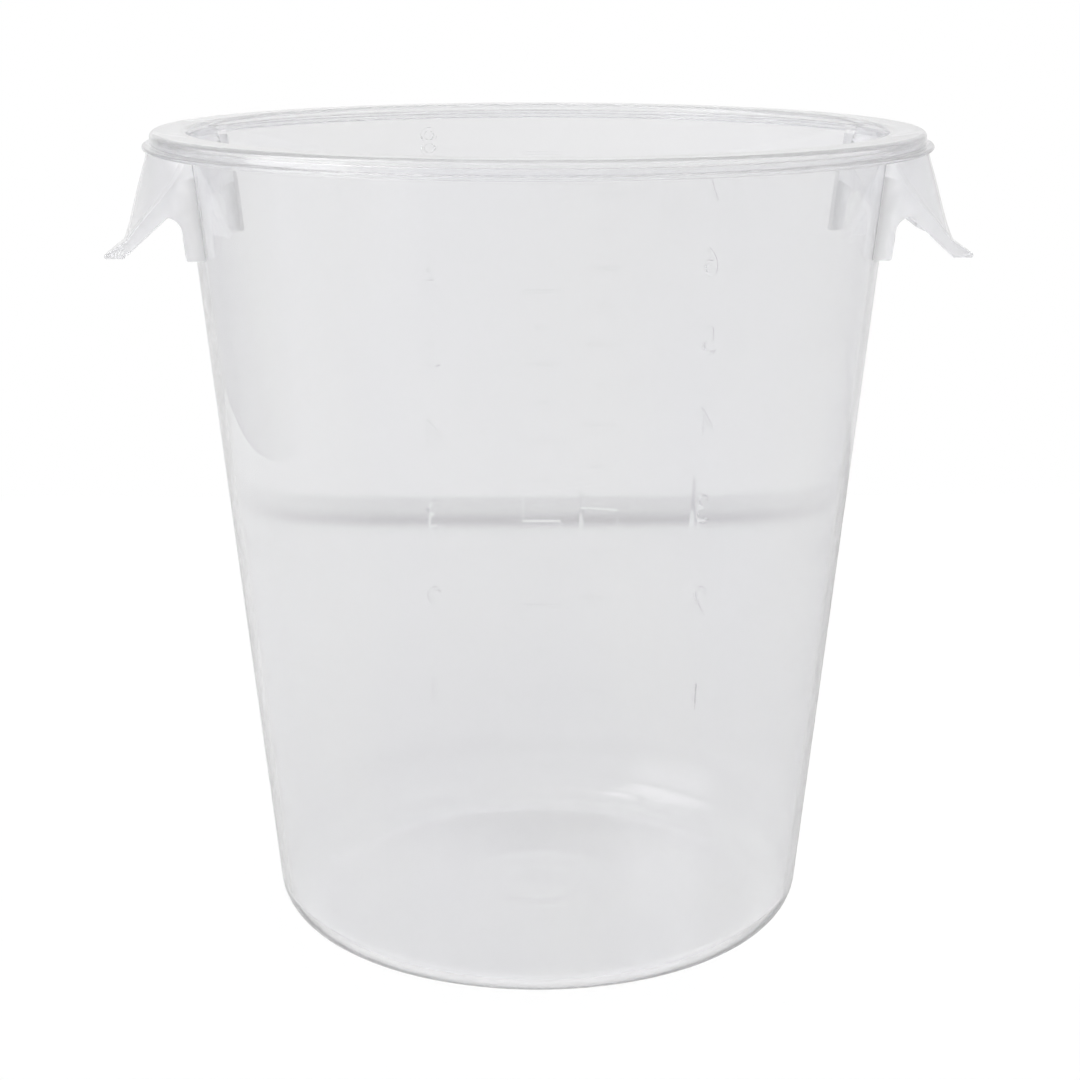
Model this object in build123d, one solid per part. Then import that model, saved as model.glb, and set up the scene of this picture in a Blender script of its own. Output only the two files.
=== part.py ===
"""Clear round food storage tub: tapered wall, rolled rim with a lid lip, two flared side grips.

Millimetres, +Z up. The origin is the centre of the base on the table, the grips point along X.
The real tub is one moulding: each node here is one named region of it, and regions meet face to face.
"""
from build123d import *
from math import cos, degrees, pi, radians, sin, sqrt
import os

os.makedirs("parts", exist_ok=True)

# Tub: outside sizes
height = 266.4
wall_top_diameter = 230.4
wall_base_diameter = 177.5
heel_radius = 12.4

# Tub: wall thicknesses
wall = 2.4
floor = 2.8
crown = 2.4
skirt = 2.4
lip_thickness = 1.5

# Rim: how far the bead overhangs the wall and the lip stands out of the bead, the lip's underside
# below the top, and the rounding of the edges
bead_overhang = 9.3
lip_width = 2.5
lip_drop = 5.6
bead_rounding = 1.6
mouth_rounding = 1.6
lip_edge_flat = 0.1

# Base: the middle stands clear of the table inside a foot ring, with the mould's gate at its centre
push_up = 1.2
push_up_slope = 3.0
foot_ring_width = 6.4
gate_diameter = 9.0
gate_depth = 0.7

# Grips: flared scoops under the lip, each with a toe flange along its foot and a rib at both ends
grip_width = 82.0
grip_drop = 38.4
grip_flare = 9.1
grip_bow = 1.0
grip_inset = 1.8
grip_end_gap = 1.0
grip_thickness = 2.4
grip_end_thickness = 3.3
flange_rise = 6.0
flange_run = 9.7
toe_height = 1.2
toe_lift = 0.9
rib = 2.5
grip_rounding = 0.5
corner_rounding = 0.8

# Rib feet, the toes, which are wider on the front ribs, and the finger arch between foot and toe
foot_depth = 6.1
foot_draft = 0.9
arch_rise = 6.2
arch_height = 13.6
arch_reach = 5.3
front_toe_width = 6.1
back_toe_width = 3.3
arch_rounding = 1.0

# Graduations: raised ticks on the back wall, one ladder in quarts and one in litres, with shorter
# ticks at the halves, up to the last that stays clear of the lip. A unit is the side of its cube.
quart_side = 98.18
litre_side = 100.0
tick_rise = 0.3
tick_height = 1.1
tick_width = 15.0
half_tick_width = 7.0
ladder_offset = 13.0
brim_clearance = 10.0
ladder_azimuth = 82.0

# How far cutting shapes run past what they cut, and how near an edge lies to a place named for it
overrun = 5.0
near_enough = 0.01

# Heights on the grip, as shares of the stretch from the crown's underside to the toe's upper edge
drop_shares = (0.0, 0.28, 0.57, 0.83, 1.0)
# How far out the grip stands at those heights, as shares of its whole flare: at its middle, at its ends
middle_shares = (0.0, 0.24, 0.49, 0.66, 0.76)
end_shares = (0.0, 0.10, 0.40, 0.69, 0.86)

top_radius = wall_top_diameter / 2
base_radius = wall_base_diameter / 2
bead_radius = top_radius + bead_overhang
skirt_radius = bead_radius - skirt
lip_radius = bead_radius + lip_width
grip_reach = lip_radius + grip_flare
taper = (top_radius - base_radius) / height
lip_rounding = (lip_thickness - lip_edge_flat) / 2
crown_underside = height - crown
lip_underside = height - lip_drop
lip_top = lip_underside + lip_thickness
skirt_gap_radius = (top_radius + skirt_radius) / 2
grip_bottom = height - grip_drop
heel_top = heel_radius
floor_radius = base_radius - heel_radius
push_up_radius = floor_radius - foot_ring_width - push_up_slope


def wall_radius(z, inset=0.0):
    """Radius of the tapered wall at height z, or of a surface that lies inset within it."""
    return base_radius + taper * z - inset


def near(shape, r, z):
    """The corner of a section that lies nearest to radius r and height z."""
    return shape.vertices().sort_by_distance((r, 0, z))[0]


def flat_section(points):
    """A closed outline in the XZ plane."""
    return make_face(Plane.XZ * Polyline(*points, close=True))


def tub_section():
    """Half section of the whole tub without its grips: floor, heel, wall, crown, skirt and lip."""
    inner_heel = heel_radius - wall
    outline = flat_section([
        (0, push_up),
        (push_up_radius, push_up),
        (push_up_radius + push_up_slope, 0),
        (wall_radius(0), 0),
        (wall_radius(crown_underside), crown_underside),
        (skirt_radius, crown_underside),
        (skirt_radius, lip_underside),
        (lip_radius, lip_underside),
        (lip_radius, lip_top),
        (bead_radius, lip_top),
        (bead_radius, height),
        (wall_radius(height, wall), height),
        (wall_radius(floor, wall), floor),
        (0, floor),
    ])
    roundings = (
        (wall_radius(0), 0, heel_radius),
        (wall_radius(floor, wall), floor, inner_heel),
        (bead_radius, height, bead_rounding),
        (wall_radius(height, wall), height, mouth_rounding),
        (lip_radius, lip_underside, lip_rounding),
        (lip_radius, lip_top, lip_rounding),
    )
    for r, z, radius in roundings:
        outline = fillet(near(outline, r, z), radius)
    return outline


def ring(section, r_from, r_to, z_from, z_to):
    """The part of the section inside a window of radii and heights, turned about the axis."""
    window = flat_section([(r_from, z_from), (r_to, z_from), (r_to, z_to), (r_from, z_to)])
    return revolve(section & window, Axis.Z, 360)


def make_base_floor(section):
    """Floor disc inside the heel, with the gate's round recess at its centre underneath."""
    disc = ring(section, 0, floor_radius, -overrun, height / 2)
    gate = Pos(0, 0, push_up) * Cylinder(gate_diameter / 2, gate_depth * 2)
    return disc - gate


def make_heel_ring(section):
    """Rounded heel between the floor and the wall."""
    return ring(section, floor_radius, lip_radius, -overrun, heel_top)


def make_tapered_wall(section):
    """Tapered wall from the heel to the underside of the crown."""
    return ring(section, floor_radius, skirt_gap_radius, heel_top, crown_underside)


def make_rim_bead(section):
    """Rolled rim: the crown over the wall's top and the skirt that hangs from its outer edge."""
    crown_ring = ring(section, floor_radius, bead_radius, crown_underside, height + overrun)
    return crown_ring + ring(section, skirt_gap_radius, bead_radius, lip_top, crown_underside)


def make_lid_lip(section):
    """Foot of the skirt, drawn out into the thin lip on which a lid's edge stops."""
    return ring(section, skirt_gap_radius, lip_radius + overrun, lip_underside - overrun, lip_top)


def scoop_face(z, x_middle, x_end, half_width):
    """Plan outline of a scoop at height z: a bowed outer side, closed inside the wall."""
    x_inside = wall_radius(grip_bottom, wall) * cos(radians(45))
    bow = ThreePointArc((x_end, -half_width, z), (x_middle, 0, z), (x_end, half_width, z))
    closing = Polyline((x_end, half_width, z), (x_inside, half_width, z),
                       (x_inside, -half_width, z), (x_end, -half_width, z))
    return make_face([bow] + list(closing.edges()))


def scoop(half_width, middle_inset, end_inset):
    """Solid scoop of a grip's outer form, or of its finger space with the insets of the grip's wall.

    The scoop is lofted down to the toe, and the flange flares out of it along a straight slope.
    """
    middle_start = lip_radius - grip_inset
    end_start = sqrt(wall_radius(crown_underside) ** 2 - (grip_width / 2) ** 2) + grip_end_gap
    toe_top = grip_bottom + toe_lift + toe_height
    faces = []
    for drop_share, middle_share, end_share in zip(drop_shares, middle_shares, end_shares):
        z = crown_underside + drop_share * (toe_top - crown_underside)
        x_middle = middle_start + middle_share * (grip_reach - middle_start) - middle_inset
        x_end = end_start + end_share * (grip_reach - grip_bow - end_start) - end_inset
        faces.append(scoop_face(z, x_middle, x_end, half_width))
    x_middle = grip_reach - middle_inset
    x_end = grip_reach - grip_bow - end_inset
    toe = scoop_face(toe_top, x_middle, x_end, half_width)
    root = scoop_face(toe_top + flange_rise, x_middle - flange_run, x_end - flange_run, half_width)
    below = toe_top - grip_bottom + overrun
    return loft(faces) + loft([root, toe], ruled=True) + extrude(toe, below, dir=(0, 0, -1))


def finger_arch(toe_width):
    """Opening under an end rib: up the foot's outer face, round the arch and down the grip's inside."""
    foot_x = sqrt(wall_radius(grip_bottom) ** 2 - (grip_width / 2) ** 2) + foot_depth
    spring = (foot_x + foot_draft, grip_bottom + arch_height - arch_rise)
    apex = (foot_x + arch_reach, grip_bottom + arch_height)
    toe = (grip_reach - grip_bow - toe_width, grip_bottom + toe_lift)
    across = 1 - cos(radians(45))
    half_way = (spring[0] + (apex[0] - spring[0]) * across, apex[1] - (apex[1] - spring[1]) * across)
    below = grip_bottom - 2 * overrun
    outside = grip_reach + overrun
    outline = Polyline(apex, toe, (outside, toe[1]), (outside, below),
                       (foot_x, below), (foot_x, grip_bottom), spring)
    face = make_face(Plane.XZ * (outline + ThreePointArc(spring, half_way, apex)))
    face = fillet(near(face, *apex), arch_rounding)
    return extrude(face, grip_width, both=True)


def edges_at(solid, axis, place):
    """The edges of a solid that lie wholly at one place along an axis."""
    return solid.edges().filter_by_position(axis, place - near_enough, place + near_enough)


def toe_edges(solid):
    """The long edges below and above the toe's outer face."""
    toe = grip_bottom + toe_lift
    return [edges_at(solid, Axis.Z, z).sort_by(Axis.X)[-1] for z in (toe, toe + toe_height)]


def is_free(edge):
    """Whether an edge of a rib touches neither the wall nor the crown."""
    middle = edge @ 0.5
    clear_of_wall = sqrt(middle.X ** 2 + middle.Y ** 2) > wall_radius(middle.Z) + near_enough
    return clear_of_wall and middle.Z < crown_underside - near_enough


def make_front_rib(ribs, toe_width):
    """The front one of a pair of plain ribs, with its arch and its toe, and with rounded free edges."""
    front_side = Pos(0, -grip_width / 2, 0) * Box(3 * grip_reach, grip_width, 2 * height)
    front = (ribs - finger_arch(toe_width)) & front_side
    for z in (grip_bottom, grip_bottom + toe_lift):
        front = fillet(edges_at(front, Axis.Z, z).filter_by(Axis.Y), corner_rounding)
    outer_edges = edges_at(front, Axis.Y, -grip_width / 2).filter_by(is_free)
    return fillet(list(outer_edges) + toe_edges(front), grip_rounding)


def make_grip_solids():
    """The grip on the +X side as three solids: the flared plate, its front rib and its back rib."""
    rib_inner = grip_width / 2 - rib
    span = 2 * grip_reach
    standing = (Align.CENTER, Align.CENTER, Align.MIN)
    tub = Cone(wall_radius(0), wall_radius(height), height, align=standing)
    rim = Cylinder(lip_radius + overrun, lip_drop, align=standing)
    rim -= Cylinder(skirt_radius, lip_drop, align=standing)
    above_foot = Pos(0, 0, grip_bottom) * Box(2 * span, span, grip_drop, align=standing)
    above_toe = Pos(0, 0, toe_lift) * above_foot
    shell = (scoop(grip_width / 2, 0, 0) & above_foot) - tub - Pos(0, 0, lip_underside) * rim
    fingers = scoop(rib_inner, grip_thickness, grip_end_thickness)
    middle = Box(span, 2 * rib_inner, 2 * height)
    plate = (shell & middle & above_toe) - fingers
    front = make_front_rib(shell - middle, front_toe_width)
    back = mirror(make_front_rib(shell - middle, back_toe_width), about=Plane.XZ)
    return fillet(toe_edges(plate), grip_rounding), front, back


def volume_height(volume):
    """Height of the level of a volume in the tapered tub, from the volume of a cone's frustum."""
    inner_base = wall_radius(floor, wall)
    filled = (inner_base ** 3 + 3 * taper * volume / pi) ** (1 / 3)
    return floor + (filled - inner_base) / taper


def make_tick_ladder(unit_side, azimuth):
    """Raised ticks on the wall from the first whole unit up, each a thin piece of a cone over the wall."""
    ticks = []
    halves = 2
    level = volume_height(unit_side ** 3)
    while level < lip_underside - brim_clearance:
        low, high = level - tick_height / 2, level + tick_height / 2
        strip = flat_section([(wall_radius(low), low), (wall_radius(low) + tick_rise, low),
                              (wall_radius(high) + tick_rise, high), (wall_radius(high), high)])
        width = half_tick_width if halves % 2 else tick_width
        angle = degrees(width / wall_radius(level))
        ticks.append(Rot(0, 0, azimuth - angle / 2) * revolve(strip, Axis.Z, angle))
        halves += 1
        level = volume_height(halves / 2 * unit_side ** 3)
    return ticks


def make_volume_ticks():
    """Both ladders of ticks, side by side on the back wall."""
    offset = degrees(ladder_offset / top_radius)
    quarts = make_tick_ladder(quart_side, ladder_azimuth + offset)
    litres = make_tick_ladder(litre_side, ladder_azimuth - offset)
    return Compound(children=quarts + litres)


section = tub_section()
right_plate, right_front, right_back = make_grip_solids()
nodes = {
    "base_floor": make_base_floor(section),
    "heel_ring": make_heel_ring(section),
    "tapered_wall": make_tapered_wall(section),
    "rim_bead": make_rim_bead(section),
    "lid_lip": make_lid_lip(section),
    "right_grip": right_plate,
    "right_front_rib": right_front,
    "right_back_rib": right_back,
    "left_grip": mirror(right_plate, about=Plane.YZ),
    "left_front_rib": mirror(right_front, about=Plane.YZ),
    "left_back_rib": mirror(right_back, about=Plane.YZ),
    "volume_ticks": make_volume_ticks(),
}
for name, shape in nodes.items():
    export_step(shape, f"parts/{name}.step")
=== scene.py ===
"""Clear proofing tub, dressed for its studio picture.

The real tub is one injection moulding in clear polycarbonate. One continuous skin therefore stands for
every node: the turned shell, both grips, and the volume marks raised on the back of the wall. Seams
between the nodes would show as dark lines inside clear plastic.
"""
import math

import bmesh
import bpy
from mathutils import Matrix, Vector


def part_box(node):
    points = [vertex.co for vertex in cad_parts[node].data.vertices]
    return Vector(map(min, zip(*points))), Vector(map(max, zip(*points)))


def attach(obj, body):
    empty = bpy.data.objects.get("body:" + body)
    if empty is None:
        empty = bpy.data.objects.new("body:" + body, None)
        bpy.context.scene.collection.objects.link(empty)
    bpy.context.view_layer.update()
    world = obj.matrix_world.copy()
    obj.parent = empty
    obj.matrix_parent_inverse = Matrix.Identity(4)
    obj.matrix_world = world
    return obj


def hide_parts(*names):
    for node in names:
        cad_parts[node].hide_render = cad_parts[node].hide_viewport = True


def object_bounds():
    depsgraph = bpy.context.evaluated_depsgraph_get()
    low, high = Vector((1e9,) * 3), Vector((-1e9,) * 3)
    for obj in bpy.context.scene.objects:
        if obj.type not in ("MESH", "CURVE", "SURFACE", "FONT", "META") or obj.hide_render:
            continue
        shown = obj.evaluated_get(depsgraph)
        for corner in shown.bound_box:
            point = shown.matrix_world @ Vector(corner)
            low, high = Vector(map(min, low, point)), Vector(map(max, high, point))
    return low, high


MM = 0.001

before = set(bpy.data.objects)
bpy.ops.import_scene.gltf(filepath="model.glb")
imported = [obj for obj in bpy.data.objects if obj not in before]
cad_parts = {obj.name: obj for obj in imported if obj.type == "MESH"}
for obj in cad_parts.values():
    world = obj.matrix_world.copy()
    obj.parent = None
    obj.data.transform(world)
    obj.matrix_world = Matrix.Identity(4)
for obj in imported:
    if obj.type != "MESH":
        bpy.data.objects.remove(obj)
cad_low, cad_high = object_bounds()

# Sizes read from the frame
FLOOR_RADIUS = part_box("base_floor")[1].x
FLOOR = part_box("base_floor")[1].z
HEEL_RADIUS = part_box("heel_ring")[1].z
CROWN_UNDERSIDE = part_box("tapered_wall")[1].z
BEAD_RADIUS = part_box("rim_bead")[1].x
LIP_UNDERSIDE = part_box("lid_lip")[0].z
LIP_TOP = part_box("lid_lip")[1].z
LIP_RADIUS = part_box("lid_lip")[1].x
PLATE_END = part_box("right_grip")[1].y
HEIGHT = cad_high.z
BASE_RADIUS = FLOOR_RADIUS + HEEL_RADIUS
TAPER = (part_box("tapered_wall")[1].x - BASE_RADIUS) / CROWN_UNDERSIDE

# Thicknesses of the moulding
WALL = 2.4 * MM
SKIRT = 2.4 * MM
SKIRT_RADIUS = BEAD_RADIUS - SKIRT

# The underside: a narrow foot ring, the floor pushed up inside it in one soft slope, and the gate's broad pad
FOOT_RING_WIDTH = 3.4 * MM
PUSH_UP = 1.2 * MM
PUSH_UP_BLEND = 44.0 * MM
PUSH_UP_SOFTNESS = 150.0 * MM
GATE_RADIUS = 17.5 * MM
GATE_DROP = 0.12 * MM
GATE_SLOPE = 5.0 * MM
GATE_SOFTNESS = 60.0 * MM

# Roundings of the rim, of the lip and of the sharper corners
RIM_ROUNDING = 1.6 * MM
LIP_ROUNDING = 0.7 * MM
SMALL_ROUNDING = 0.5 * MM

# Numerals beside the ticks, with their height as a share of the font's size. A tick wider than
# WHOLE_TICK_WIDTH marks a whole unit and has a numeral
NUMERAL_HEIGHT = 11.0 * MM
NUMERAL_RISE = 0.3 * MM
NUMERAL_OFFSET = 43.0 * MM
NUMERAL_CURVE_STEPS = 6
NUMERAL_HEIGHT_SHARE = 0.72
WHOLE_TICK_WIDTH = 12.0 * MM

# Fineness of the turned shell
TURN_STEPS = 256
ROUNDING_STEPS = 8

# How far joined forms reach into the shell and into each other, and how near counts as touching
SINK = 0.8 * MM
RIB_REACH = 0.4 * MM
CONTACT = 0.06 * MM
MERGE = 0.002 * MM

# A turn sharper than SHARP_ANGLE is a crisp edge, and a face this true to the wall's cone belongs to it
SHARP_ANGLE = math.radians(34)
CONE_ANGLE = math.radians(2)

# Clarity of the plastic, 1 where nothing is milky. A grip starts just outside the wall, to either side of
# the tub's middle, and its milky root clears with the distance from the wall
WALL_CLARITY = 0.88
CROWN_CLARITY = 0.62
GRIP_CLARITY = 0.45
ROOT_CLARITY = 0.12
GRIP_STARTS = (0.02 * MM, 0.10 * MM)
GRIP_SIDES = (70.0 * MM, 80.0 * MM)
ROOT_CLEARS = (1.6 * MM, 7.0 * MM)

# Polycarbonate, its faintly cool tint, and the waver that the melt's flow leaves in the walls, long in height
POLYCARBONATE_IOR = 1.585
CLEAR = "#FFFFFF"
COOL = "#FDFDFF"
FLOW_WAVE = 45.0 * MM
FLOW_STRETCH = 0.35
FLOW_DETAIL = 1.0
FLOW_SHARPNESS = 0.4
FLOW_DEPTH = 0.03 * MM

# Its polish: roughness between the patches of fine scuffs and in them, and what lids add on the rim. The
# scuffs themselves are too fine to show, so they are drawn as patches
POLISH = (0.02, 0.05)
SCUFF_PATCH = 22.0 * MM
SCUFF_DETAIL = 5.0
SCUFF_SHARPNESS = 0.6
SCUFFED = (0.35, 0.7)
RIM_SCUFFS = 0.06

# The studio table: a wide front part and a narrower rear part, a hair below the foot
TABLE_FRONT_HALF = 2.0
TABLE_SHOULDER = -0.04
TABLE_LEFT = -0.558
TABLE_RIGHT = 0.75
TABLE_REAR = 0.593
TABLE_DROP = 0.05 * MM

# The table to the eye: a glow near white, and a grey that the light adds to and the tub shades
TABLE_GLOW = 0.88
TABLE_LIT = "#696969"

# The table through the plastic, 1 for white: pairs of a place from front to back and its tone, darker towards
# the front.
# Its dark band along the rear edge is painted shade, for an edge that rounds off. They draw towards the side
# tone, by a share that grows over these distances from the middle
TABLE_TONES_WITH_PAINTED_EDGE_SHADE = ((-0.10, 0.72), (0.10, 0.755), (0.35, 0.82), (0.498, 0.83), (0.514, 0.77),
               (0.533, 0.40), (0.540, 0.46), (0.556, 0.66), (0.593, 0.69))
TABLE_SIDE_TONE = 0.82
TABLE_SIDE_SHARE = 0.42
TABLE_SIDES = (0.08, 0.20)

# Light that the heel gathers on the table in front: pairs of a radius and a share, where it fades out
# towards the back, and its tone
TABLE_RING = ((0.074, 0), (0.080, 1), (0.087, 1), (0.094, 0))
TABLE_RING_FADES = (-0.05, 0.03)
TABLE_RING_TONE = 0.92

# The table as the gloss mirrors it, from left to right, where painted light makes its left brighter than its
# right, and as it lights the milky plastic
TABLE_MIRRORED_PAINTED_LIGHT = (0.84, 0.58)
TABLE_MIRRORED_SIDES = (-0.35, 0.35)
TABLE_BOUNCE = 0.95

# The studio round the tub: the light that it gives, and its tones behind and in front, through the plastic
ROOM_LIGHT = 0.92
BACKDROP = 0.87
FRONT_THROUGH = 0.82
BACKDROP_STARTS = (-0.3, 0.3)

# The room as the gloss mirrors it: pairs of a compass angle, in degrees to the right of the front, and a tone
ROOM_TONES = ((-180, 0.90), (-160, 0.86), (-132, 0.38), (-112, 0.42), (-90, 0.72), (-50, 0.78),
              (0, 0.66), (50, 0.50), (90, 0.48), (130, 0.50), (160, 0.80), (180, 0.90))

# The softbox on the left: its strength, and the share of it by compass angle and by height as a sine,
# first as the gloss mirrors it, then as it shows through the plastic
SOFTBOX = 2.4
SOFTBOX_MIRRORED = (((-93, 0), (-89, 0.8), (-58, 0.8), (-54, 0)),
                    ((-0.16, 0), (-0.12, 1), (-0.045, 1), (-0.02, 0),
                     (0.14, 0), (0.20, 1), (0.88, 1), (0.96, 0)))
SOFTBOX_THROUGH = (((-96, 0), (-84, 1), (-54, 1), (-42, 0)),
                   ((0.12, 0), (0.20, 1), (0.88, 1), (0.96, 0)))

# Light has to pass many walls of the rim and the grips before it leaves them
LIGHT_BOUNCES = 48

# The camera, fitted to the photograph, with its shift in the photograph's pixels
CAMERA_DISTANCE = 731.1 * MM
CAMERA_HEIGHT = 319.5 * MM
CAMERA_ORBIT = math.radians(0.8)
CAMERA_PITCH = math.radians(14.70)
CAMERA_LENS = 74.06
CAMERA_SENSOR = 36.0
FRAME_PIXELS = 1080
SHIFT_PIXELS = 2.0

WHITE = (1.0, 1.0, 1.0, 1.0)


def wall_radius(z, inset=0.0):
    """Radius of the wall's outer side at height z, or of a surface that lies inset within it."""
    return BASE_RADIUS + TAPER * z - inset


def make_object(name, mesh):
    piece = bpy.data.objects.new(name, mesh)
    bpy.context.scene.collection.objects.link(piece)
    return piece


def mesh_from(name, bm):
    mesh = bpy.data.meshes.new(name)
    bm.to_mesh(mesh)
    bm.free()
    return mesh


def merged_copy(mesh):
    """A copy of a mesh with its doubled vertices merged, as a bmesh."""
    bm = bmesh.new()
    bm.from_mesh(mesh)
    bmesh.ops.remove_doubles(bm, verts=bm.verts, dist=MERGE)
    return bm


def section_corners():
    """Corners of the half section, each with its rounding, from the gate out, up and back in."""
    foot_edge = FLOOR_RADIUS - FOOT_RING_WIDTH
    return [
        (0, PUSH_UP - GATE_DROP, 0),
        (GATE_RADIUS - GATE_SLOPE, PUSH_UP - GATE_DROP, GATE_SOFTNESS),
        (GATE_RADIUS, PUSH_UP, GATE_SOFTNESS),
        (foot_edge - PUSH_UP_BLEND, PUSH_UP, PUSH_UP_SOFTNESS),
        (foot_edge, 0, PUSH_UP_SOFTNESS),
        (BASE_RADIUS, 0, HEEL_RADIUS),
        (wall_radius(CROWN_UNDERSIDE), CROWN_UNDERSIDE, SMALL_ROUNDING),
        (SKIRT_RADIUS, CROWN_UNDERSIDE, SMALL_ROUNDING),
        (SKIRT_RADIUS, LIP_UNDERSIDE, 0),
        (LIP_RADIUS, LIP_UNDERSIDE, LIP_ROUNDING),
        (LIP_RADIUS, LIP_TOP, LIP_ROUNDING),
        (BEAD_RADIUS, LIP_TOP, SMALL_ROUNDING),
        (BEAD_RADIUS, HEIGHT, RIM_ROUNDING),
        (wall_radius(HEIGHT, WALL), HEIGHT, RIM_ROUNDING),
        (wall_radius(FLOOR, WALL), FLOOR, HEEL_RADIUS - WALL),
        (0, FLOOR, 0),
    ]


def round_corner(bm, corner, radius):
    """Rounds one corner of an open outline to a radius."""
    arms = [(edge.other_vert(corner).co - corner.co).normalized() for edge in corner.link_edges]
    tangent = radius / math.tan(arms[0].angle(arms[1]) / 2)
    bmesh.ops.bevel(bm, geom=[corner], offset=tangent, offset_type="OFFSET", segments=ROUNDING_STEPS,
                    profile=0.5, affect="VERTICES", clamp_overlap=False, material=-1)


def turned_shell():
    """Floor, heel, wall, crown, skirt and lip, turned in one piece from the half section."""
    bm = bmesh.new()
    corners = section_corners()
    points = [bm.verts.new((r, 0, z)) for r, z, _ in corners]
    for here, after in zip(points, points[1:]):
        bm.edges.new((here, after))
    for point, (_, _, rounding) in zip(points, corners):
        if rounding:
            round_corner(bm, point, rounding)
    bmesh.ops.spin(bm, geom=bm.verts[:] + bm.edges[:], cent=(0, 0, 0), axis=(0, 0, 1),
                   angle=math.tau, steps=TURN_STEPS, use_merge=True, use_duplicate=False)
    bmesh.ops.remove_doubles(bm, verts=bm.verts, dist=MERGE)
    bmesh.ops.recalc_face_normals(bm, faces=bm.faces)
    return make_object("tub_moulding", mesh_from("tub_moulding", bm))


def sink_grip(bm, side):
    """Pushes a grip's contact faces into the wall, the crown, the skirt and the lip that carry it."""
    for vert in bm.verts:
        x, y, z = vert.co
        radius = math.hypot(x, y)
        past_skirt = radius > SKIRT_RADIUS - CONTACT
        under_lip = past_skirt and abs(z - LIP_UNDERSIDE) < CONTACT
        if radius < wall_radius(z) + CONTACT:
            vert.co.x -= side * SINK
        if past_skirt and z > LIP_UNDERSIDE - CONTACT:
            vert.co.x += side * SINK
        if under_lip or z > CROWN_UNDERSIDE - CONTACT:
            vert.co.z += SINK


def reach_into_plate(bm, side):
    """Lets a rib's inner face reach a little into the grip's plate, just inside the plate's outline."""
    for vert in bm.verts:
        if abs(abs(vert.co.y) - PLATE_END) < CONTACT:
            vert.co.y -= math.copysign(RIB_REACH, vert.co.y)
            vert.co.x -= side * CONTACT
            vert.co.z += CONTACT


def grip_part(node, side):
    """One of a grip's solids, reaching a little into the shell and its neighbours."""
    bm = merged_copy(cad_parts[node].data)
    sink_grip(bm, side)
    if "rib" in node:
        reach_into_plate(bm, side)
    return make_object(node + "_joined", mesh_from(node + "_joined", bm))


def islands(bm):
    """The loose parts of a mesh, as lists of vertices."""
    bm.verts.ensure_lookup_table()
    seen = set()
    parts = []
    for start in bm.verts:
        if start in seen:
            continue
        part = [start]
        seen.add(start)
        for vert in part:
            for edge in vert.link_edges:
                other = edge.other_vert(vert)
                if other not in seen:
                    seen.add(other)
                    part.append(other)
        parts.append(part)
    return parts


def tick_marks():
    """The raised ticks, reaching a little into the wall, and the angle and foot of each whole-unit one."""
    bm = merged_copy(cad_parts["volume_ticks"].data)
    places = []
    for part in islands(bm):
        angles = [math.atan2(vert.co.y, vert.co.x) for vert in part]
        foot = min(vert.co.z for vert in part)
        width = (max(angles) - min(angles)) * wall_radius(foot)
        if width > WHOLE_TICK_WIDTH:
            places.append(((min(angles) + max(angles)) / 2, foot))
    for vert in bm.verts:
        if math.hypot(vert.co.x, vert.co.y) < wall_radius(vert.co.z) + CONTACT:
            vert.co.y -= SINK
    return make_object("ticks_joined", mesh_from("ticks_joined", bm)), places


def numeral(text, angle, z):
    """A raised numeral that stands on height z of the wall's outer side, read from outside."""
    curve = bpy.data.curves.new("numeral", "FONT")
    curve.body = text
    curve.size = NUMERAL_HEIGHT / NUMERAL_HEIGHT_SHARE
    curve.align_x = "CENTER"
    curve.extrude = (NUMERAL_RISE + SINK) / 2
    curve.resolution_u = NUMERAL_CURVE_STEPS
    carrier = make_object("numeral", curve)
    bpy.context.view_layer.update()
    mesh = bpy.data.meshes.new_from_object(carrier.evaluated_get(bpy.context.evaluated_depsgraph_get()))
    bpy.data.objects.remove(carrier)
    outward = Vector((math.cos(angle), math.sin(angle), -TAPER)).normalized()
    along = Vector((-math.sin(angle), math.cos(angle), 0))
    upward = outward.cross(along)
    middle = wall_radius(z) + (NUMERAL_RISE - SINK) / 2
    foot = Vector((middle * math.cos(angle), middle * math.sin(angle), z))
    turn = Matrix((along, upward, outward)).transposed().to_4x4()
    mesh.transform(Matrix.Translation(foot) @ turn)
    return make_object("numeral_joined", mesh_from("numeral_joined", merged_copy(mesh)))


def numerals(places):
    """Numerals for both ladders, each outside of its ladder's ticks."""
    middle = sum(angle for angle, _ in places) / len(places)
    pieces = []
    for side in (-1, 1):
        ladder = sorted((z, angle) for angle, z in places if (angle - middle) * side > 0)
        for count, (z, angle) in enumerate(ladder, start=1):
            pieces.append(numeral(str(count), angle + side * NUMERAL_OFFSET / wall_radius(z), z))
    return pieces


def bake_modifiers(piece):
    """Replaces a piece's mesh by the one that its modifiers make."""
    bpy.context.view_layer.update()
    evaluated = piece.evaluated_get(bpy.context.evaluated_depsgraph_get())
    baked = bpy.data.meshes.new_from_object(evaluated)
    piece.modifiers.clear()
    piece.data = baked


def join_solids(body, parts):
    """Unites parts with a body into one closed skin, and removes them."""
    for part in parts:
        union = body.modifiers.new(part.name, "BOOLEAN")
        union.operation = "UNION"
        union.solver = "EXACT"
        union.object = part
    bake_modifiers(body)
    for part in parts:
        bpy.data.objects.remove(part)


def shade_smooth(piece):
    """Smooth faces with crisp edges where the form turns sharply, led by the largest faces."""
    mesh = piece.data
    mesh.polygons.foreach_set("use_smooth", [True] * len(mesh.polygons))
    mesh.set_sharp_from_angle(angle=SHARP_ANGLE)
    weighted = piece.modifiers.new("weighted_normals", "WEIGHTED_NORMAL")
    weighted.mode = "FACE_AREA"
    weighted.weight = 100
    weighted.keep_sharp = True
    bake_modifiers(piece)


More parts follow.
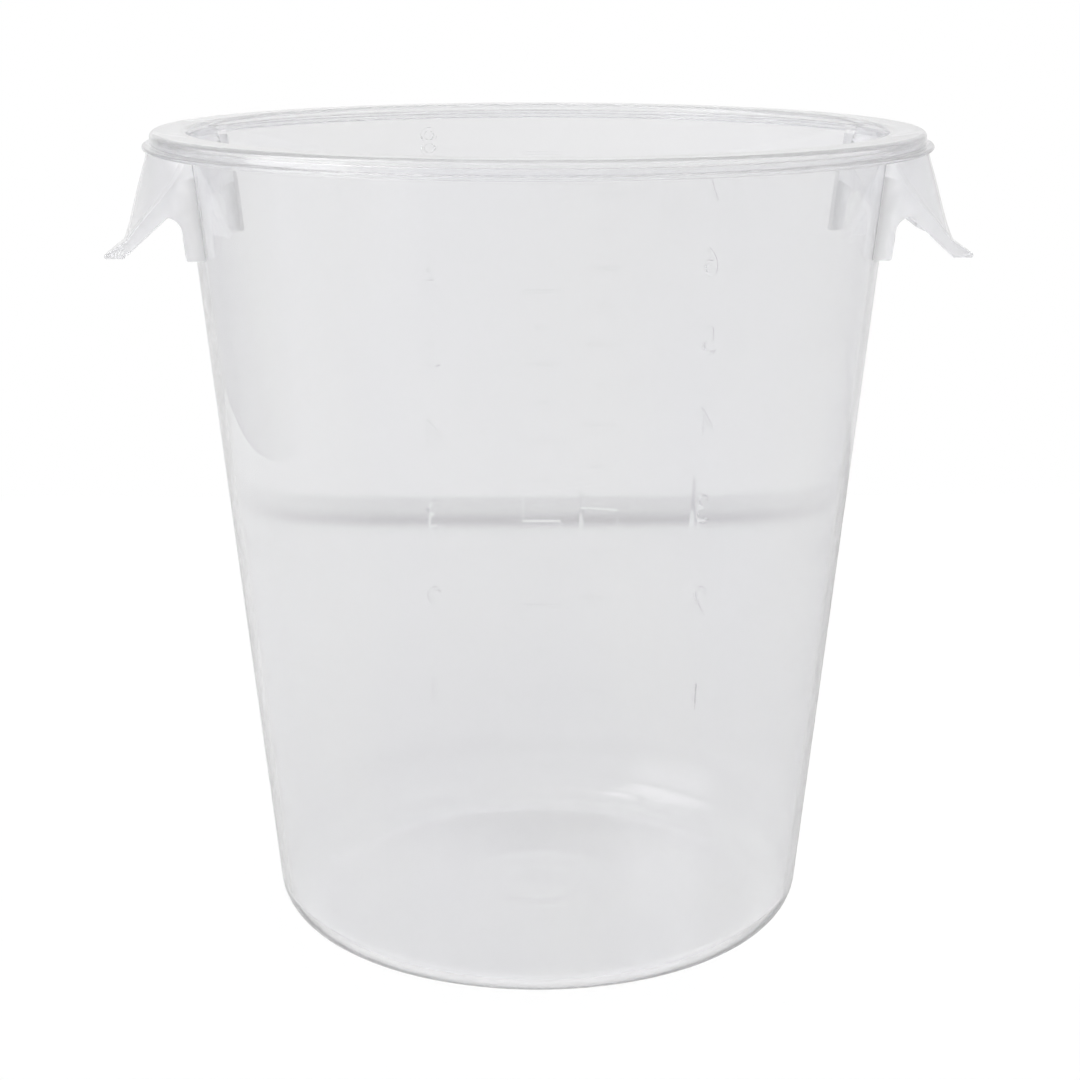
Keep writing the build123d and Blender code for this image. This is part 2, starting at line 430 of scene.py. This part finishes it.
def cone_normal(spot, way):
    """Exact normal of the wall's cone at a spot: outwards for a way of 1, inwards for -1."""
    across = Vector((spot.x, spot.y, 0)).normalized()
    return (across - Vector((0, 0, TAPER))).normalized() * way


def true_wall_normals(piece):
    """Gives the wall's faces the exact normals of their cones, which joined forms would disturb."""
    mesh = piece.data
    normals = [Vector(corner.vector) for corner in mesh.corner_normals]
    for face in mesh.polygons:
        middle = face.center
        radius = math.hypot(middle.x, middle.y)
        for inset, way in ((0, 1), (WALL, -1)):
            on_cone = abs(radius - wall_radius(middle.z, inset)) < CONTACT
            if on_cone and face.normal.dot(cone_normal(middle, way)) > math.cos(CONE_ANGLE):
                for corner in face.loop_indices:
                    spot = mesh.vertices[mesh.loops[corner].vertex_index].co
                    normals[corner] = cone_normal(spot, way)
    mesh.normals_split_custom_set(normals)


def linear(hex_colour):
    """Linear RGBA of an sRGB hex colour."""
    channels = [int(hex_colour[i:i + 2], 16) / 255 for i in (1, 3, 5)]
    return tuple(c / 12.92 if c <= 0.04045 else ((c + 0.055) / 1.055) ** 2.4 for c in channels) + (1.0,)


def add_node(tree, kind, inputs=None, **settings):
    """Adds a node with its settings, and sets or links its inputs by name or number.

    A node given as an input stands for its first output. A Map Range node's inputs are 0 for the value,
    1 and 2 for where its reach starts and ends, and 3 and 4 for what it gives there, which is 0 and 1 if
    nothing is said. A Mix node's are 0 for the share, 2 and 3 for two numbers, and 6 and 7 for two colours.
    """
    node = tree.nodes.new(kind)
    for name, value in settings.items():
        setattr(node, name, value)
    for name, value in (inputs or {}).items():
        if isinstance(value, bpy.types.Node):
            value = value.outputs[0]
        if isinstance(value, bpy.types.NodeSocket):
            tree.links.new(value, node.inputs[name])
        else:
            node.inputs[name].default_value = value
    return node


def on_rim(tree, height):
    """1 on the rim, from the lip's underside up, and 0 below it."""
    return add_node(tree, "ShaderNodeMapRange",
                    {0: height, 1: LIP_UNDERSIDE - CONTACT, 2: LIP_UNDERSIDE + CONTACT},
                    interpolation_type="SMOOTHSTEP")


def on_grip(tree, x, outside):
    """1 on the grips, which lie outside the wall at the tub's sides, and 0 elsewhere."""
    aside = add_node(tree, "ShaderNodeMath", {0: x}, operation="ABSOLUTE")
    beside = add_node(tree, "ShaderNodeMapRange", {0: aside, 1: GRIP_SIDES[0], 2: GRIP_SIDES[1]},
                      interpolation_type="SMOOTHSTEP")
    off_wall = add_node(tree, "ShaderNodeMapRange", {0: outside, 1: GRIP_STARTS[0], 2: GRIP_STARTS[1]},
                        interpolation_type="SMOOTHSTEP")
    return add_node(tree, "ShaderNodeMath", {0: beside, 1: off_wall}, operation="MULTIPLY")


def clarity(tree, place):
    """How clear each place is: the crown and the grips are milkier than the wall, the grips' roots most."""
    x, _, height = add_node(tree, "ShaderNodeSeparateXYZ", {0: place}).outputs
    level = add_node(tree, "ShaderNodeVectorMath", {0: place, 1: (1, 1, 0)}, operation="MULTIPLY")
    radius = add_node(tree, "ShaderNodeVectorMath", {0: level}, operation="LENGTH").outputs["Value"]
    wall = add_node(tree, "ShaderNodeMath", {0: height, 1: TAPER, 2: BASE_RADIUS}, operation="MULTIPLY_ADD")
    outside = add_node(tree, "ShaderNodeMath", {0: radius, 1: wall}, operation="SUBTRACT")
    grip = add_node(tree, "ShaderNodeMapRange",
                    {0: outside, 1: ROOT_CLEARS[0], 2: ROOT_CLEARS[1], 3: ROOT_CLARITY, 4: GRIP_CLARITY},
                    interpolation_type="SMOOTHSTEP")
    crown = add_node(tree, "ShaderNodeMapRange",
                     {0: height, 1: CROWN_UNDERSIDE, 2: HEIGHT, 3: WALL_CLARITY, 4: CROWN_CLARITY},
                     interpolation_type="SMOOTHSTEP")
    below = add_node(tree, "ShaderNodeMix", {0: on_grip(tree, x, outside), 2: WALL_CLARITY, 3: grip})
    return add_node(tree, "ShaderNodeMix", {0: on_rim(tree, height), 2: below, 3: crown})


def polish(tree, place):
    """Roughness of the gloss: patches of fine scuffs everywhere, and duller where lids rub the rim."""
    height = add_node(tree, "ShaderNodeSeparateXYZ", {0: place}).outputs["Z"]
    scuffs = add_node(tree, "ShaderNodeTexNoise", {"Vector": place, "Scale": 1 / SCUFF_PATCH,
                                                   "Detail": SCUFF_DETAIL, "Roughness": SCUFF_SHARPNESS})
    worn = add_node(tree, "ShaderNodeMapRange",
                    {0: scuffs, 1: SCUFFED[0], 2: SCUFFED[1], 3: POLISH[0], 4: POLISH[1]})
    return add_node(tree, "ShaderNodeMath", {0: on_rim(tree, height), 1: RIM_SCUFFS, 2: worn},
                    operation="MULTIPLY_ADD")


def moulded_polycarbonate():
    """Clear polycarbonate, injection moulded in a polished tool and used for a while.

    The eye sees a glossy, colourless body with a trace of milky haze, walls that waver a little where the
    melt flowed up from the gate, fine scuffs spread unevenly, and a rim that lids have rubbed duller.
    """
    material = bpy.data.materials.new("moulded_clear_polycarbonate")
    material.use_nodes = True
    tree = material.node_tree
    tree.nodes.clear()
    place = add_node(tree, "ShaderNodeTexCoord").outputs["Object"]
    stretched = add_node(tree, "ShaderNodeMapping", {"Vector": place, "Scale": (1, 1, FLOW_STRETCH)})
    flow = add_node(tree, "ShaderNodeTexNoise", {"Vector": stretched, "Scale": 1 / FLOW_WAVE,
                                                 "Detail": FLOW_DETAIL, "Roughness": FLOW_SHARPNESS})
    tint = add_node(tree, "ShaderNodeMix", {0: flow, 6: linear(COOL), 7: linear(CLEAR)}, data_type="RGBA")
    waver = add_node(tree, "ShaderNodeBump", {"Height": flow, "Strength": 1.0, "Distance": FLOW_DEPTH})
    plastic = add_node(tree, "ShaderNodeBsdfPrincipled", {
        "IOR": POLYCARBONATE_IOR,
        "Base Color": tint.outputs[2],
        "Transmission Weight": clarity(tree, place),
        "Roughness": polish(tree, place),
        "Normal": waver,
    })
    add_node(tree, "ShaderNodeOutputMaterial", {"Surface": plastic})
    return material


def tone_along(tree, value, tones):
    """A tone that follows a value along a list of (value, tone) pairs."""
    first, last = tones[0][0], tones[-1][0]
    reach = add_node(tree, "ShaderNodeMapRange", {0: value, 1: first, 2: last})
    ramp = add_node(tree, "ShaderNodeValToRGB", {0: reach})
    stops = ramp.color_ramp.elements
    stops.remove(stops[1])
    for count, (where, tone) in enumerate(tones):
        stop = stops[0] if count == 0 else stops.new((where - first) / (last - first))
        stop.color = (tone, tone, tone, 1)
    return ramp


def table_through_plastic(tree, place):
    """Tone of the table where it shows through the plastic, with painted shade along its rear edge and
    painted light gathered in front of the heel.
    """
    x, depth, _ = add_node(tree, "ShaderNodeSeparateXYZ", {0: place}).outputs
    aside = add_node(tree, "ShaderNodeMath", {0: x}, operation="ABSOLUTE")
    fade = add_node(tree, "ShaderNodeMapRange",
                    {0: aside, 1: TABLE_SIDES[0], 2: TABLE_SIDES[1], 4: TABLE_SIDE_SHARE},
                    interpolation_type="SMOOTHSTEP")
    # Painted shade: the tones through the plastic hold a dark band along the table's rear edge
    plain = add_node(tree, "ShaderNodeMix",
                     {0: fade, 2: tone_along(tree, depth, TABLE_TONES_WITH_PAINTED_EDGE_SHADE), 3: TABLE_SIDE_TONE})
    radius = add_node(tree, "ShaderNodeVectorMath", {0: place}, operation="LENGTH").outputs["Value"]
    front = add_node(tree, "ShaderNodeMapRange",
                     {0: depth, 1: TABLE_RING_FADES[0], 2: TABLE_RING_FADES[1], 3: 1.0, 4: 0.0},
                     interpolation_type="SMOOTHSTEP")
    ring = add_node(tree, "ShaderNodeMath", {0: tone_along(tree, radius, TABLE_RING), 1: front},
                    operation="MULTIPLY")
    return add_node(tree, "ShaderNodeMix", {0: ring, 2: plain, 3: TABLE_RING_TONE})


def table_finish():
    """Pale table top: white to the eye but for the tub's soft shadow; light grey through the plastic and in
    the gloss, a glow with painted light and shade in it.
    """
    material = bpy.data.materials.new("pale_table_top")
    material.use_nodes = True
    tree = material.node_tree
    tree.nodes.clear()
    rays = add_node(tree, "ShaderNodeLightPath").outputs
    place = add_node(tree, "ShaderNodeTexCoord").outputs["Object"]
    x = add_node(tree, "ShaderNodeSeparateXYZ", {0: place}).outputs["X"]
    # Painted light: in the gloss the table glows brighter on its left than on its right
    painted_light_mirrored = add_node(tree, "ShaderNodeMapRange",
                        {0: x, 1: TABLE_MIRRORED_SIDES[0], 2: TABLE_MIRRORED_SIDES[1],
                         3: TABLE_MIRRORED_PAINTED_LIGHT[0], 4: TABLE_MIRRORED_PAINTED_LIGHT[1]},
                        interpolation_type="SMOOTHSTEP")
    bounced = add_node(tree, "ShaderNodeMix", {0: rays["Is Diffuse Ray"], 2: painted_light_mirrored, 3: TABLE_BOUNCE})
    tone = add_node(tree, "ShaderNodeMix",
                    {0: rays["Is Transmission Ray"], 2: bounced, 3: table_through_plastic(tree, place)})
    in_plastic = add_node(tree, "ShaderNodeEmission", {"Color": WHITE, "Strength": tone})
    lit = add_node(tree, "ShaderNodeBsdfDiffuse", {"Color": linear(TABLE_LIT)})
    glow = add_node(tree, "ShaderNodeEmission", {"Color": WHITE, "Strength": TABLE_GLOW})
    seen = add_node(tree, "ShaderNodeAddShader", {0: lit, 1: glow})
    surface = add_node(tree, "ShaderNodeMixShader", {0: rays["Is Camera Ray"], 1: in_plastic, 2: seen})
    add_node(tree, "ShaderNodeOutputMaterial", {"Surface": surface})
    return material


def table_top():
    """Pale table top under the tub: a wide front part and a narrower rear part."""
    bm = bmesh.new()
    outline = [(-TABLE_FRONT_HALF, -TABLE_FRONT_HALF), (TABLE_FRONT_HALF, -TABLE_FRONT_HALF),
               (TABLE_FRONT_HALF, TABLE_SHOULDER), (TABLE_RIGHT, TABLE_SHOULDER),
               (TABLE_RIGHT, TABLE_REAR), (TABLE_LEFT, TABLE_REAR),
               (TABLE_LEFT, TABLE_SHOULDER), (-TABLE_FRONT_HALF, TABLE_SHOULDER)]
    bm.faces.new([bm.verts.new((x, y, -TABLE_DROP)) for x, y in outline])
    table = make_object("table_top", mesh_from("table_top", bm))
    table.data.materials.append(table_finish())


def softbox_light(tree, passed, degrees, rise):
    """Light of the softbox: one window for the rays that the gloss mirrors, one for those let through."""
    windows = []
    for sides, heights in (SOFTBOX_MIRRORED, SOFTBOX_THROUGH):
        across, upward = tone_along(tree, degrees, sides), tone_along(tree, rise, heights)
        windows.append(add_node(tree, "ShaderNodeMath", {0: across, 1: upward}, operation="MULTIPLY"))
    share = add_node(tree, "ShaderNodeMix", {0: passed, 2: windows[0], 3: windows[1]})
    return add_node(tree, "ShaderNodeMath", {0: share, 1: SOFTBOX}, operation="MULTIPLY")


def studio_world():
    """White behind the object, a pale backdrop through it, and a room with a softbox in its gloss."""
    world = bpy.data.worlds.new("studio")
    bpy.context.scene.world = world
    world.use_nodes = True
    tree = world.node_tree
    tree.nodes.clear()
    rays = add_node(tree, "ShaderNodeLightPath").outputs
    passed = rays["Is Transmission Ray"]
    way = add_node(tree, "ShaderNodeTexCoord").outputs["Generated"]
    right, depth, rise = add_node(tree, "ShaderNodeSeparateXYZ", {0: way}).outputs
    front = add_node(tree, "ShaderNodeMath", {0: depth, 1: -1.0}, operation="MULTIPLY")
    compass = add_node(tree, "ShaderNodeMath", {0: right, 1: front}, operation="ARCTAN2")
    degrees = add_node(tree, "ShaderNodeMath", {0: compass}, operation="DEGREES")
    through = add_node(tree, "ShaderNodeMapRange",
                       {0: depth, 1: BACKDROP_STARTS[0], 2: BACKDROP_STARTS[1],
                        3: FRONT_THROUGH, 4: BACKDROP},
                       interpolation_type="SMOOTHSTEP")
    room = add_node(tree, "ShaderNodeMix", {0: passed, 2: tone_along(tree, degrees, ROOM_TONES), 3: through})
    staged = add_node(tree, "ShaderNodeMath", {0: room, 1: softbox_light(tree, passed, degrees, rise)},
                      operation="ADD")
    plain = add_node(tree, "ShaderNodeMix", {0: rays["Is Camera Ray"], 2: ROOM_LIGHT, 3: 1.0})
    in_plastic = add_node(tree, "ShaderNodeMath", {0: rays["Is Glossy Ray"], 1: passed}, operation="MAXIMUM")
    strength = add_node(tree, "ShaderNodeMix", {0: in_plastic, 2: plain, 3: staged})
    light = add_node(tree, "ShaderNodeBackground", {"Color": WHITE, "Strength": strength})
    add_node(tree, "ShaderNodeOutputWorld", {"Surface": light})


def studio_camera():
    """Camera at the photograph's place, turned a little about the tub's axis."""
    data = bpy.data.cameras.new("studio_camera")
    data.lens = CAMERA_LENS
    data.sensor_width = CAMERA_SENSOR
    data.shift_x = SHIFT_PIXELS / FRAME_PIXELS
    camera = make_object("studio_camera", data)
    camera.location = (-CAMERA_DISTANCE * math.sin(CAMERA_ORBIT),
                       -CAMERA_DISTANCE * math.cos(CAMERA_ORBIT), CAMERA_HEIGHT)
    camera.rotation_euler = (math.pi / 2 - CAMERA_PITCH, 0, -CAMERA_ORBIT)
    bpy.context.scene.camera = camera


def clear_tub():
    """The whole moulding in one skin: the shell, the grips with their ribs, and the volume marks."""
    tub = turned_shell()
    parts = []
    for name, side in (("right", 1), ("left", -1)):
        for region in ("grip", "front_rib", "back_rib"):
            parts.append(grip_part(f"{name}_{region}", side))
    ticks, places = tick_marks()
    join_solids(tub, parts + [ticks] + numerals(places))
    shade_smooth(tub)
    true_wall_normals(tub)
    tub.data.materials.clear()
    tub.data.materials.append(moulded_polycarbonate())
    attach(tub, "root")
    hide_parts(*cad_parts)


clear_tub()
table_top()
studio_world()
studio_camera()

scene = bpy.context.scene
scene.view_settings.view_transform = "Standard"
scene.cycles.max_bounces = LIGHT_BOUNCES
scene.cycles.transmission_bounces = LIGHT_BOUNCES
scene.cycles.glossy_bounces = LIGHT_BOUNCES
scene.cycles.diffuse_bounces = LIGHT_BOUNCES
scene.cycles.blur_glossy = 0.0
